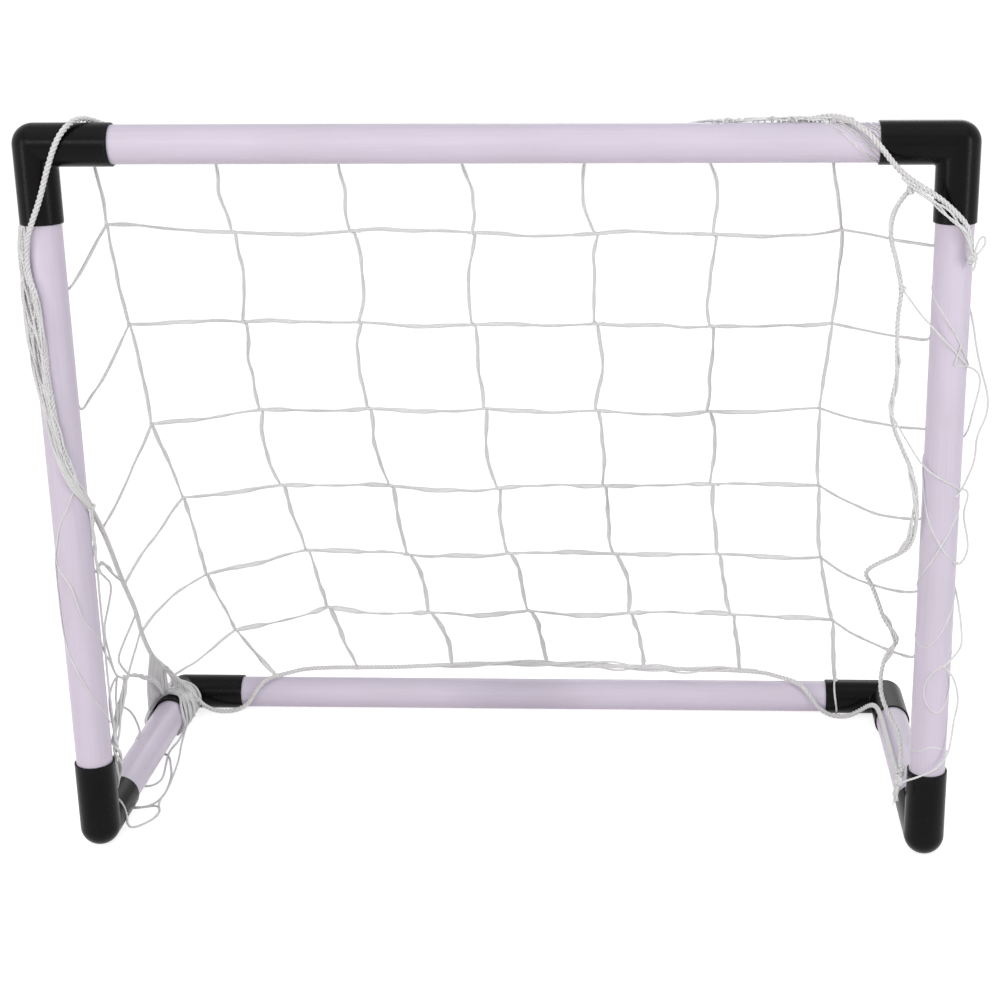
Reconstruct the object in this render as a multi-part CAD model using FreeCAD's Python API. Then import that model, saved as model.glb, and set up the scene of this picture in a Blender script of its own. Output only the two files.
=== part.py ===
import FreeCAD, Part
import math
import os

# Small training goal: six plastic tubes pushed into six moulded elbows, with a
# knotted net and a braided edge rope. Millimetres, +Z up, +X to the right seen
# from the front, +Y from the mouth towards the back. The origin is on the floor
# under the middle of the frame.

# Frame sizes, between tube axes
FRAME_WIDTH = 585.0
FRAME_HEIGHT = 480.0
FRAME_DEPTH = 240.0

# Tubes
TUBE_OD = 25.0
TUBE_WALL = 1.2

# Elbows, measured along each leg from the crossing of the two axes
ELBOW_LEG = 50.0
ELBOW_WALL = 1.3
SOCKET_DEPTH = 32.0
SOCKET_CLEARANCE = 0.1
GORES = 5

# Net and rope
TWINE = 1.7
ROPE_OD = 3.8
ROPE_SIDES = 6
SOFT_GAP = 0.3
MESH_WIDTH = 77.0
MESH_COLUMNS = 6
MESH_ROWS = 7
NET_SHIFT = -19.0
NET_CORNER_INSET = 8.0
SIDE_NET_DROP = 238.0
SIDE_ROW_SLANT = 0.24
DIAGONAL_SAG = 24.0
DIAGONAL_STEPS = 6
ROPE_ANGLE = 40.0
REAR_ROPE_RISE = 14.0
KNOT_OD = 8.4
KNOT_LENGTH = 11.0

# Sizes that follow from the ones above
TUBE_R = TUBE_OD / 2
ROPE_R = ROPE_OD / 2
SOCKET_R = TUBE_R + SOCKET_CLEARANCE
ELBOW_R = SOCKET_R + ELBOW_WALL
CORE_R = TUBE_R - TUBE_WALL
SHOULDER = ELBOW_LEG - SOCKET_DEPTH
BASE = ELBOW_R
TOP = BASE + FRAME_HEIGHT
RIGHT = FRAME_WIDTH / 2
LEFT = -RIGHT
FRONT = -FRAME_DEPTH / 2
BACK = FRAME_DEPTH / 2

X = FreeCAD.Vector(1, 0, 0)
Y = FreeCAD.Vector(0, 1, 0)
Z = FreeCAD.Vector(0, 0, 1)


def vec(x, y, z):
    return FreeCAD.Vector(x, y, z)


def unit(vector):
    return vector * (1 / vector.Length)


# Tube between two corners, its ends on the shoulders inside the elbows
def tube(corner_a, corner_b):
    along = unit(corner_b - corner_a)
    start = corner_a + along * SHOULDER
    length = (corner_b - corner_a).Length - 2 * SHOULDER
    return Part.makeCylinder(TUBE_R, length, start, along).cut(Part.makeCylinder(CORE_R, length, start, along))


# The ball corner of an elbow is mitred from short lengths of the leg's round, each turned
# a little further from one leg towards the other
def corner_gores(axis_a, axis_b):
    across = axis_a.cross(axis_b)

    def outwards(angle):
        turn = math.radians(angle)
        return axis_b * -math.cos(turn) - axis_a * math.sin(turn)

    gores = []
    for k in range(GORES + 1):
        middle = 90 * k / GORES
        low = max(middle - 45 / GORES, 0)
        high = min(middle + 45 / GORES, 90)
        along = outwards(middle).cross(across)
        corners = [vec(0, 0, 0), outwards(low) * 2 * ELBOW_R, outwards(high) * 2 * ELBOW_R, vec(0, 0, 0)]
        wedge = Part.Face(Part.makePolygon(corners)).extrude(across * 2 * ELBOW_R)
        wedge.translate(across * -ELBOW_R)
        gores.append(Part.makeCylinder(ELBOW_R, 2 * ELBOW_R, along * -ELBOW_R, along).common(wedge))
    return gores


# Moulded elbow: two sockets at a right angle with a shoulder at the foot of each, a rounded
# corner, and a passage that joins the sockets
def elbow(corner, axis_a, axis_b):
    legs = [Part.makeCylinder(ELBOW_R, ELBOW_LEG, vec(0, 0, 0), axis) for axis in (axis_a, axis_b)]
    outside = legs[0].fuse(legs[1:] + corner_gores(axis_a, axis_b)).removeSplitter()
    hollows = []
    for axis in (axis_a, axis_b):
        hollows.append(Part.makeCylinder(CORE_R, ELBOW_LEG, vec(0, 0, 0), axis))
        hollows.append(Part.makeCylinder(SOCKET_R, SOCKET_DEPTH, axis * SHOULDER, axis))
    shape = outside.cut(hollows)
    shape.translate(corner)
    return shape


# Straight runs joined by tangent arcs, each arc as large as its two runs allow
def rounded_path(points):
    edges = []
    radii = []
    start = points[0]
    for before, corner, after in zip(points, points[1:], points[2:]):
        run_in = unit(corner - before)
        run_out = unit(after - corner)
        half_turn = run_in.getAngle(run_out) / 2
        reach = 0.45 * min((corner - before).Length, (after - corner).Length)
        radius = reach / math.tan(half_turn)
        entry = corner - run_in * reach
        leave = corner + run_out * reach
        middle = corner + unit(run_out - run_in) * radius * (1 / math.cos(half_turn) - 1)
        edges.append(Part.LineSegment(start, entry).toShape())
        edges.append(Part.Arc(entry, middle, leave).toShape())
        radii.append(radius)
        start = leave
    edges.append(Part.LineSegment(start, points[-1]).toShape())
    return Part.Wire(edges), radii


# Rope along its route, of a few flat sides, with its length, tightest bend and volume printed
def rope(name, points):
    path, radii = rounded_path(points)
    sideways = unit((points[1] - points[0]).cross(Y))
    turn = FreeCAD.Rotation(points[1] - points[0], 360 / ROPE_SIDES)
    ring = [points[0] + sideways * ROPE_R]
    for side in range(ROPE_SIDES):
        ring.append(points[0] + turn.multVec(ring[-1] - points[0]))
    solid = path.makePipeShell([Part.makePolygon(ring)], True, False)
    area = ROPE_SIDES / 2 * math.sin(2 * math.pi / ROPE_SIDES) * ROPE_R ** 2
    share = solid.Volume / (area * path.Length)
    print(name, "length", round(path.Length), "least radius", round(min(radii), 1), "volume share", round(share, 4))
    return solid


# Where each side of an outline, given as a point and a direction, meets the one before it
def crossings(sides):
    corners = []
    for (px, py, dx, dy), (qx, qy, ex, ey) in zip(sides[-1:] + sides, sides):
        step = ((qx - px) * ey - (qy - py) * ex) / (dx * ey - dy * ex)
        corners.append((px + dx * step, py + dy * step))
    return corners


# A closed outline moved inwards by a distance, or outwards by a negative one. A side that
# is too short to be left over drops out.
def inset(outline, distance):
    pairs = list(zip(outline, outline[1:] + outline[:1]))
    turn = math.copysign(1, sum(ax * by - bx * ay for (ax, ay), (bx, by) in pairs))
    sides = []
    for (ax, ay), (bx, by) in pairs:
        size = math.hypot(bx - ax, by - ay)
        dx, dy = (bx - ax) / size, (by - ay) / size
        sides.append((ax - dy * turn * distance, ay + dx * turn * distance, dx, dy))
    while True:
        corners = crossings(sides)
        ends = corners[1:] + corners[:1]
        lost = [k for k, (a, b, side) in enumerate(zip(corners, ends, sides))
                if (b[0] - a[0]) * side[2] + (b[1] - a[1]) * side[3] <= 0]
        if not lost or len(sides) == 3:
            return corners
        del sides[lost[0]]


# The part of an outline that lies past a line, whose measure grows in the kept direction
def past(outline, measure, limit):
    kept = []
    for a, b in zip(outline, outline[1:] + outline[:1]):
        over_a, over_b = measure(a) - limit, measure(b) - limit
        if over_a >= 0:
            kept.append(a)
        if over_a * over_b < 0:
            share = over_a / (over_a - over_b)
            kept.append((a[0] + (b[0] - a[0]) * share, a[1] + (b[1] - a[1]) * share))
    return kept


# A mesh is left open only where it stays wider than its own twine
def is_open(mesh):
    sides = list(zip(mesh, mesh[1:] + mesh[:1]))
    area = abs(sum(ax * by - bx * ay for (ax, ay), (bx, by) in sides)) / 2
    around = sum(math.hypot(bx - ax, by - ay) for (ax, ay), (bx, by) in sides)
    return 2 * area / around > 2 * TWINE


# Flat net: one face with a hole for each mesh, as thick as the twine
def flat_net(border, meshes, origin, along_u, along_w):
    normal = unit(along_u.cross(along_w))

    def wire(outline):
        loop = [origin + along_u * u + along_w * w - normal * (TWINE / 2) for u, w in outline]
        return Part.makePolygon(loop + loop[:1])

    wires = [wire(inset(border, -TWINE / 2))]
    wires += [wire(inset(mesh, TWINE / 2)) for mesh in meshes if is_open(mesh)]
    return Part.makeFace(wires, "Part::FaceMakerBullseye").extrude(normal * TWINE)


# The back net hangs behind the crossbar and slopes to the rear tube, clear of the elbows.
# In its plane u runs along +X and w runs down the slope from the crossbar.
SLOPE = math.hypot(FRAME_HEIGHT, FRAME_DEPTH)
SLOPE_ANGLE = math.degrees(math.atan2(FRAME_DEPTH, FRAME_HEIGHT))
DOWN = vec(0, FRAME_DEPTH, -FRAME_HEIGHT) * (1 / SLOPE)
BEHIND = vec(0, FRAME_HEIGHT, FRAME_DEPTH) * (1 / SLOPE)
ROPE_RING = ELBOW_R + SOFT_GAP + ROPE_R
UPRIGHT_REACH = TUBE_R + SOFT_GAP + ROPE_R + 0.9
BACK_PLANE = vec(0, FRONT, TOP) + BEHIND * (ELBOW_R + SOFT_GAP + TWINE / 2)
NET_TOP = ROPE_R + SOFT_GAP + TWINE / 2 - ROPE_RING * math.cos(math.radians(ROPE_ANGLE + SLOPE_ANGLE))
NET_BOTTOM = SLOPE - REAR_ROPE_RISE - ROPE_R - SOFT_GAP - TWINE / 2
ROWS = [NET_TOP + (NET_BOTTOM - NET_TOP) * k / MESH_ROWS for k in range(MESH_ROWS + 1)]
COLUMNS = [NET_SHIFT + MESH_WIDTH * (k - MESH_COLUMNS / 2) for k in range(MESH_COLUMNS + 1)]
CORNER_U = RIGHT - NET_CORNER_INSET
FOOT_LINE = BACK_PLANE + DOWN * (SLOPE - REAR_ROPE_RISE)


# Where the slanted left or right edge of the back net lies at a distance down the slope
def edge_u(side, w):
    start = COLUMNS[0] if side < 0 else COLUMNS[-1]
    return start + (side * CORNER_U - start) * (w - NET_TOP) / (NET_BOTTOM - NET_TOP)


def back_net():
    border = [(COLUMNS[0], NET_TOP), (COLUMNS[-1], NET_TOP), (CORNER_U, NET_BOTTOM), (-CORNER_U, NET_BOTTOM)]
    meshes = []
    for above, below in zip(ROWS, ROWS[1:]):
        for left, right in zip(COLUMNS, COLUMNS[1:]):
            meshes.append([(left, above), (right, above), (right, below), (left, below)])
        for side, column in ((-1, COLUMNS[0]), (1, COLUMNS[-1])):
            meshes.append([(column, above), (edge_u(side, above) + side * 0.01, above),
                           (edge_u(side, below), below), (column, below)])
    return flat_net(border, meshes, BACK_PLANE, X, DOWN)


# Each side net is a flat triangle from the edge of the back net to the middle of the
# upright. In its plane u runs down the back net's edge and w runs forwards to the upright.
class SideNet:
    def __init__(self, side):
        in_front = BACK_PLANE - BEHIND * (2 * SOFT_GAP + TWINE)
        head = ELBOW_R + 2 * TWINE
        foot = NET_BOTTOM - 2 * TWINE
        inner = RIGHT - TUBE_R - SOFT_GAP - TWINE / 2
        self.start = in_front + X * edge_u(side, head) + DOWN * head
        corner = in_front + X * edge_u(side, foot) + DOWN * foot
        middle = vec(side * inner, FRONT + TUBE_R / 3, TOP - SIDE_NET_DROP)
        self.along_u = unit(corner - self.start)
        forwards = middle - self.start
        forwards = forwards - self.along_u * forwards.dot(self.along_u)
        self.along_w = unit(forwards)
        self.length = (corner - self.start).Length
        self.reach = ((middle - self.start).dot(self.along_u), (middle - self.start).dot(self.along_w))
        self.first_row = (ROWS[1] - head) / (foot - head) * self.length
        self.row_step = (ROWS[2] - ROWS[1]) / (foot - head) * self.length

    # The lower edge, which sags a little, moved outwards by a distance
    def diagonal(self, outwards):
        (mu, mw), length = self.reach, self.length
        span = math.hypot(length - mu, mw)
        points = []
        for step in range(DIAGONAL_STEPS + 1):
            t = step / DIAGONAL_STEPS
            drop = DIAGONAL_SAG * 4 * t * (1 - t) + outwards
            points.append((mu + (length - mu) * t + mw / span * drop, mw * (1 - t) + (length - mu) / span * drop))
        return points

    def solid(self):
        border = [(0, 0)] + self.diagonal(0)
        meshes = []
        row = lambda point: point[0] - SIDE_ROW_SLANT * point[1]
        limits = [self.first_row + self.row_step * k for k in range(MESH_ROWS - 1)]
        for low, high in zip([-self.length] + limits, limits + [2 * self.length]):
            mesh = past(past(border, row, low), lambda point: -row(point), -high)
            if len(mesh) > 2:
                meshes.append(mesh)
        return flat_net(border, meshes, self.start, self.along_u, self.along_w)

    # Centres of the rope that edges the net from below
    def rope_line(self):
        beside = TWINE / 2 + 3 * SOFT_GAP + ROPE_R
        return [self.start + self.along_u * u + self.along_w * w for u, w in self.diagonal(beside)]


# Places given from a corner of the frame
def near(corner, places):
    return [CORNERS[corner] + vec(*place) for place in places]


# A place round the crossbar: the angle grows from the front over the top, and rise adds
# to the closest distance that a rope can have from the axis
def round_crossbar(corner, x, angle, rise):
    turn = math.radians(angle)
    reach = ROPE_RING + rise
    return CORNERS[corner] + vec(x, -reach * math.cos(turn), reach * math.sin(turn))


# A place round an upright: the angle grows from the front towards -X
def round_upright(corner, z, angle):
    turn = math.radians(angle)
    return CORNERS[corner] + vec(-UPRIGHT_REACH * math.sin(turn), -UPRIGHT_REACH * math.cos(turn), z)


# Barrel knot that runs on from a rope's end
def knot(end, along):
    barrel = Part.makeCylinder(KNOT_OD / 2, KNOT_LENGTH, end, along)
    return barrel.makeChamfer(KNOT_OD / 4, [barrel.Edges[0], barrel.Edges[2]])


os.makedirs("parts", exist_ok=True)

CORNERS = {}
for name, x in (("left", LEFT), ("right", RIGHT)):
    CORNERS["top_" + name] = vec(x, FRONT, TOP)
    CORNERS["front_" + name] = vec(x, FRONT, BASE)
    CORNERS["rear_" + name] = vec(x, BACK, BASE)

parts = {}
parts["crossbar_tube"] = tube(CORNERS["top_left"], CORNERS["top_right"])
parts["rear_base_tube"] = tube(CORNERS["rear_left"], CORNERS["rear_right"])
for name, inwards in (("left", X), ("right", -X)):
    parts[name + "_upright_tube"] = tube(CORNERS["front_" + name], CORNERS["top_" + name])
    parts[name + "_base_tube"] = tube(CORNERS["front_" + name], CORNERS["rear_" + name])
    parts["top_" + name + "_elbow"] = elbow(CORNERS["top_" + name], inwards, -Z)
    parts["front_" + name + "_elbow"] = elbow(CORNERS["front_" + name], Z, Y)
    parts["rear_" + name + "_elbow"] = elbow(CORNERS["rear_" + name], -Y, inwards)

parts["back_net"] = back_net()
left_side = SideNet(-1)
right_side = SideNet(1)
parts["left_side_net"] = left_side.solid()
parts["right_side_net"] = right_side.solid()

# Edge rope, tied below the top right elbow. It crosses that corner in front, climbs over
# the crossbar, runs behind its top, comes down over the top left elbow and the front of
# the left upright, follows the lower edge of the left side net, wraps the rear elbows,
# carries the foot of the back net and ends in a knot at the right foot.
over_right = [(-52, 5, 1), (-62, 40, 1), (-73, 75, 1), (-86, 108, 0.5), (-104, 130, 0)]
over_left = [(46, 130, 0), (34, 112, 0.6), (27, 80, 1.4), (20, 45, 1.4), (13, 12, 1)]
edge_route = near("top_right", [(9, -14.9, -68), (7.5, -15.8, -52), (-2.5, -16.6, -41), (-14.5, -16.6, -31),
                                (-28.5, -16.6, -23), (-40, -16.8, -14)])
edge_route += [round_crossbar("top_right", *place) for place in over_right]
edge_route += [round_crossbar("top_left", *place) for place in over_left]
edge_route += near("top_left", [(6.5, -16.6, -14), (1, -16.6, -32), (-6, -15.9, -47), (-10.5, -12.4, -60)])
edge_route += [round_upright("top_left", *place) for place in
               [(-78, 30), (-97, 12), (-125, 7), (-155, 2), (-185, -8), (-207, -24), (-226, -48)]]
edge_route += near("top_left", [(15.8, -2.4, -243)])
edge_route += left_side.rope_line()[1:-1]
edge_route += near("rear_left", [(6, -37, 26), (10.5, -31, 15.5), (16, -27, 5.5), (22, -22, -5),
                                 (32, -17.5, -11), (46, -14, -11.3), (57, -15, -4), (64, -14.5, 8),
                                 (72, -8.5, 15.5), (86, 0.5, 16.4)])
edge_route += [vec(LEFT + 106, 0, 0) + FOOT_LINE, vec(RIGHT - 106, 0, 0) + FOOT_LINE]
edge_route += near("rear_right", [(-86, 0.5, 16.4), (-72, -8.5, 15.5), (-64, -14.5, 8), (-57, -15, -4),
                                  (-46, -14, -11.3), (-33, -17, -11), (-23, -22, -3), (-16.5, -31, 6),
                                  (-13, -44, 11.5), (-11, -62, 12)])
edge_route += near("front_right", [(-11.5, 66, 12.5), (-12.5, 48, 13.5), (-16, 33, 16), (-19, 19, 20.5),
                                   (-19.3, 6, 28), (-18.7, 0, 40)])

# Right edge rope, slack from the edge rope at the top corner down to the foot knot
right_route = near("top_right", [(-30, -12, -27), (-36, -10, -34), (-41, -8, -46), (-41, -6, -60), (-35.5, -5, -76),
                                 (-32, -4, -92), (-34, -2, -112), (-33, -1, -134), (-32, 0, -152), (-35.5, 1, -167),
                                 (-34, 2, -183), (-27, 1, -199), (-20, -4, -214), (-16.7, -8, -231),
                                 (-16.4, -8, -250), (-19, -4, -266), (-27, 4, -277), (-35.5, 14, -287),
                                 (-42.5, 20, -299), (-41, 24, -312), (-35, 27, -322), (-28.5, 26, -333),
                                 (-25, 24, -345), (-28.5, 24, -358), (-33, 21, -370), (-33.5, 16, -383),
                                 (-28.5, 9, -394), (-22, 3, -404), (-18.7, 0, -415)])
right_route.append(CORNERS["front_right"] + vec(-18.7, 0, 40 + KNOT_LENGTH + SOFT_GAP))

parts["edge_rope"] = rope("edge_rope", edge_route)
parts["edge_rope"] = parts["edge_rope"].fuse([knot(edge_route[0], -Z), knot(edge_route[-1], Z)])
parts["right_edge_rope"] = rope("right_edge_rope", right_route)

for name, shape in parts.items():
    print(name, shape.ShapeType, len(shape.Solids), shape.isValid(), round(shape.Volume))
    shape.exportStep("parts/" + name + ".step")
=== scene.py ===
from math import cos, pi, radians, sin, sqrt
from random import Random

import bpy
import numpy as np
from mathutils import Matrix, Vector


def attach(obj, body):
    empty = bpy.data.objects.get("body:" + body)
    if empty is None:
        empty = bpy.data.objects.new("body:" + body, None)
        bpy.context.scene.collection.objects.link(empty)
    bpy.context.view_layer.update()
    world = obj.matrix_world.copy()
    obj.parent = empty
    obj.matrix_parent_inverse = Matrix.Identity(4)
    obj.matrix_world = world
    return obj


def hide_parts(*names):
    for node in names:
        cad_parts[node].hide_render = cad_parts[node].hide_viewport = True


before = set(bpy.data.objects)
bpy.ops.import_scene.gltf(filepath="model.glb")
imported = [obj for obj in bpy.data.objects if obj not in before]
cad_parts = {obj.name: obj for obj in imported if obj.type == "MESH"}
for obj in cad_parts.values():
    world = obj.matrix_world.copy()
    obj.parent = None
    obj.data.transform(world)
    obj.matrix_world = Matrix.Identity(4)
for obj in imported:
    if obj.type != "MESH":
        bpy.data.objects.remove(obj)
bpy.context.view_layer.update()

# --------------------------------------
# The camera stands a little to the right of the mouth, higher than the crossbar, and looks
# down into the goal through a short portrait lens, as the catalogue photograph was taken.
LENS = 65.66
CAMERA_PLACE = (0.111, -1.282, 0.6219)
YAW, PITCH, ROLL = 2.2, -17.35, 0.4

show = bpy.context.scene.collection.objects.link
camera_data = bpy.data.cameras.new("camera")
camera_data.sensor_width = 36
camera_data.lens = LENS
camera_data.shift_x = -0.1
camera = bpy.data.objects.new("camera", camera_data)
camera.matrix_world = (
    Matrix.Translation(CAMERA_PLACE)
    @ Matrix.Rotation(radians(YAW), 4, "Z")
    @ Matrix.Rotation(radians(PITCH), 4, "X")
    @ Matrix.Rotation(radians(ROLL), 4, "Y")
    @ Matrix.Rotation(radians(90), 4, "X")
)
show(camera)
bpy.context.scene.camera = camera
bpy.context.scene.view_settings.view_transform = "Standard"

# --------------------------------------
# A white table top and a white room: one broad soft lamp overhead, a tall narrow soft box on
# each side, and a wide one in front and behind. The table keeps a faint shadow under the goal.
FLOOR_REACH = 14
TABLE_COLOUR, TABLE_LIFT = (0.79, 0.76, 0.76), 0.77
ROOM_LIGHT = 0.36


def lamp(name, place, aim, width, height, watts, tint=(1, 1, 1)):
    data = bpy.data.lights.new(name, "AREA")
    data.shape = "RECTANGLE"
    data.color = tint
    data.size, data.size_y = width, height
    data.energy = watts
    obj = bpy.data.objects.new(name, data)
    obj.location = place
    towards = Vector(aim) - Vector(place)
    obj.rotation_euler = towards.to_track_quat("-Z", "Y").to_euler()
    show(obj)


lamp("overhead_softbox", (0, -0.7, 1.9), (0, -0.1, 0.2), 2.4, 1.4, 7.3)
lamp("left_softbox", (-1.7, -1.3, 0.62), (0, 0, 0.3), 0.24, 1.15, 8, (1, 0.93, 0.91))
lamp("right_softbox", (1.7, -1.2, 0.62), (0, 0, 0.3), 0.24, 1.15, 10)
lamp("front_softbox", (-0.7, -2.6, 1.35), (0, 0, 0.25), 1.8, 0.26, 16)
lamp("rear_softbox", (0.5, 2.4, 1.5), (0, 0.1, 0.25), 1.8, 0.9, 11)


def seen_directly(nodes, links):
    """One for what the camera sees itself, in a gloss or through glass, and nought for lighting."""
    path = nodes.new("ShaderNodeLightPath")
    first = nodes.new("ShaderNodeMath")
    first.operation = "MAXIMUM"
    links.new(path.outputs["Is Camera Ray"], first.inputs[0])
    links.new(path.outputs["Is Glossy Ray"], first.inputs[1])
    second = nodes.new("ShaderNodeMath")
    second.operation = "MAXIMUM"
    links.new(first.outputs[0], second.inputs[0])
    links.new(path.outputs["Is Transmission Ray"], second.inputs[1])
    return second.outputs[0]


room = bpy.data.worlds.new("white_room")
room.use_nodes = True
nodes, links = room.node_tree.nodes, room.node_tree.links
nodes.clear()
lighting = nodes.new("ShaderNodeBackground")
lighting.inputs["Color"].default_value = (0.97, 0.98, 1, 1)
lighting.inputs["Strength"].default_value = ROOM_LIGHT
seen = nodes.new("ShaderNodeBackground")
seen.inputs["Color"].default_value = (1, 1, 1, 1)
seen.inputs["Strength"].default_value = 1
either = nodes.new("ShaderNodeMixShader")
room_out = nodes.new("ShaderNodeOutputWorld")
links.new(seen_directly(nodes, links), either.inputs[0])
links.new(lighting.outputs[0], either.inputs[1])
links.new(seen.outputs[0], either.inputs[2])
links.new(either.outputs[0], room_out.inputs["Surface"])
bpy.context.scene.world = room

table_mesh = bpy.data.meshes.new("white_table")
table_mesh.from_pydata(
    [(-FLOOR_REACH, -FLOOR_REACH, 0), (FLOOR_REACH, -FLOOR_REACH, 0),
     (FLOOR_REACH, FLOOR_REACH, 0), (-FLOOR_REACH, FLOOR_REACH, 0)],
    [], [(0, 1, 2, 3)],
)
table = bpy.data.objects.new("white_table", table_mesh)
show(table)
table_top = bpy.data.materials.new("white_laminate")
table_top.use_nodes = True
nodes, links = table_top.node_tree.nodes, table_top.node_tree.links
nodes.clear()
matt = nodes.new("ShaderNodeBsdfDiffuse")
matt.inputs["Color"].default_value = (*TABLE_COLOUR, 1)
lift = nodes.new("ShaderNodeEmission")
lift.inputs["Color"].default_value = (1, 1, 1, 1)
weight = nodes.new("ShaderNodeMath")
weight.operation = "MULTIPLY"
weight.inputs[1].default_value = TABLE_LIFT
links.new(seen_directly(nodes, links), weight.inputs[0])
links.new(weight.outputs[0], lift.inputs["Strength"])
together = nodes.new("ShaderNodeAddShader")
links.new(matt.outputs[0], together.inputs[0])
links.new(lift.outputs[0], together.inputs[1])
table_out = nodes.new("ShaderNodeOutputMaterial")
links.new(together.outputs[0], table_out.inputs["Surface"])
table_mesh.materials.append(table_top)

# --------------------------------------
# Six straight lengths of white extruded plastic pipe: the crossbar, two uprights, two base
# tubes and the rear base tube. Each is cut square, lightly chamfered, and pushed 32 mm into
# an elbow at both ends. The extruder leaves faint lengthwise lines and a soft satin skin.
MM = 0.001
FRAME_WIDTH, FRAME_HEIGHT, FRAME_DEPTH = 585, 480, 240
TUBE_R, BORE_R = 12.5, 11.3
BASE = 13.9
TOP = BASE + FRAME_HEIGHT
RIGHT, LEFT = FRAME_WIDTH / 2, -FRAME_WIDTH / 2
FRONT, BACK = -FRAME_DEPTH / 2, FRAME_DEPTH / 2
SHOULDER = 18
TUBE_SIDES = 96
TUBE_COLOUR = (0.765, 0.695, 0.82)
TUBE_SHADE = (0.72, 0.66, 0.765)


def coloured(colour):
    return (*colour, 1)


def shader_sheet(name):
    """An empty node sheet with a Principled shader on it, ready for a finish."""
    material = bpy.data.materials.new(name)
    material.use_nodes = True
    tree = material.node_tree
    tree.nodes.clear()
    skin = tree.nodes.new("ShaderNodeBsdfPrincipled")
    out = tree.nodes.new("ShaderNodeOutputMaterial")
    tree.links.new(skin.outputs[0], out.inputs["Surface"])
    return material, tree, skin


def grain(tree, source, stretch, scale, detail=4, roughness=0.55):
    """Noise over the coordinates of source, stretched by a factor along each of the three axes."""
    mapping = tree.nodes.new("ShaderNodeMapping")
    mapping.inputs["Scale"].default_value = stretch
    tree.links.new(source, mapping.inputs["Vector"])
    noise = tree.nodes.new("ShaderNodeTexNoise")
    noise.inputs["Scale"].default_value = scale
    noise.inputs["Detail"].default_value = detail
    noise.inputs["Roughness"].default_value = roughness
    tree.links.new(mapping.outputs[0], noise.inputs["Vector"])
    return noise.outputs["Fac"]


def ramp(tree, value, low, high, at=(0.35, 0.65)):
    """Turns a grain value into a run between two colours, or two levels where numbers are given."""
    node = tree.nodes.new("ShaderNodeValToRGB")
    node.color_ramp.elements[0].position, node.color_ramp.elements[1].position = at
    for element, level in zip(node.color_ramp.elements, (low, high)):
        element.color = coloured(level if hasattr(level, "__len__") else (level, level, level))
    tree.links.new(value, node.inputs["Fac"])
    return node.outputs["Color"]


def mixed(tree, first, second, amount, how="MIX"):
    node = tree.nodes.new("ShaderNodeMix")
    node.data_type = "RGBA"
    node.blend_type = how
    tree.links.new(first, node.inputs["A"])
    tree.links.new(second, node.inputs["B"])
    if hasattr(amount, "is_linked"):
        tree.links.new(amount, node.inputs["Factor"])
    else:
        node.inputs["Factor"].default_value = amount
    return node.outputs["Result"]


def raised(tree, height, strength, depth, under=None):
    node = tree.nodes.new("ShaderNodeBump")
    node.inputs["Strength"].default_value = strength
    node.inputs["Distance"].default_value = depth
    tree.links.new(height, node.inputs["Height"])
    if under is not None:
        tree.links.new(under, node.inputs["Normal"])
    return node.outputs["Normal"]


pipe_plastic, tree, skin = shader_sheet("extruded_white_plastic")
place = tree.nodes.new("ShaderNodeTexCoord").outputs["Object"]
lines = grain(tree, place, (1, 1, 0.02), 900, 3)
clouds = grain(tree, place, (1, 1, 0.35), 26, 3)
scuffs = grain(tree, place, (1, 1, 0.22), 240, 6, 0.7)
dust = grain(tree, place, (1, 1, 1), 1500, 2)
body = ramp(tree, clouds, TUBE_SHADE, TUBE_COLOUR, (0.28, 0.56))
faint = ramp(tree, lines, 0.955, 1, (0.3, 0.7))
body = mixed(tree, body, faint, 1, "MULTIPLY")
specks = ramp(tree, dust, 0.80, 1, (0.255, 0.30))
body = mixed(tree, body, specks, 1, "MULTIPLY")
tree.links.new(body, skin.inputs["Base Color"])
satin = ramp(tree, scuffs, 0.27, 0.42, (0.35, 0.7))
tree.links.new(satin, skin.inputs["Roughness"])
skin.inputs["IOR"].default_value = 1.46
skin.inputs["Specular IOR Level"].default_value = 0.26
drawn = raised(tree, lines, 0.10, 0.00015)
drawn = raised(tree, clouds, 0.12, 0.0012, drawn)
drawn = raised(tree, scuffs, 0.05, 0.0002, drawn)
tree.links.new(drawn, skin.inputs["Normal"])


def turned(name, profile, sides):
    """A closed profile of (radius, height) points turned round the Z axis."""
    rings = len(profile)
    corners = []
    for radius, height in profile:
        for k in range(sides):
            a = 2 * pi * k / sides
            corners.append((radius * cos(a) * MM, radius * sin(a) * MM, height * MM))
    faces = []
    for r in range(rings):
        low, high = r * sides, ((r + 1) % rings) * sides
        for k in range(sides):
            n = (k + 1) % sides
            faces.append((low + k, low + n, high + n, high + k))
    mesh = bpy.data.meshes.new(name)
    mesh.from_pydata(corners, [], faces)
    mesh.polygons.foreach_set("use_smooth", [True] * len(faces))
    return mesh


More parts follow.
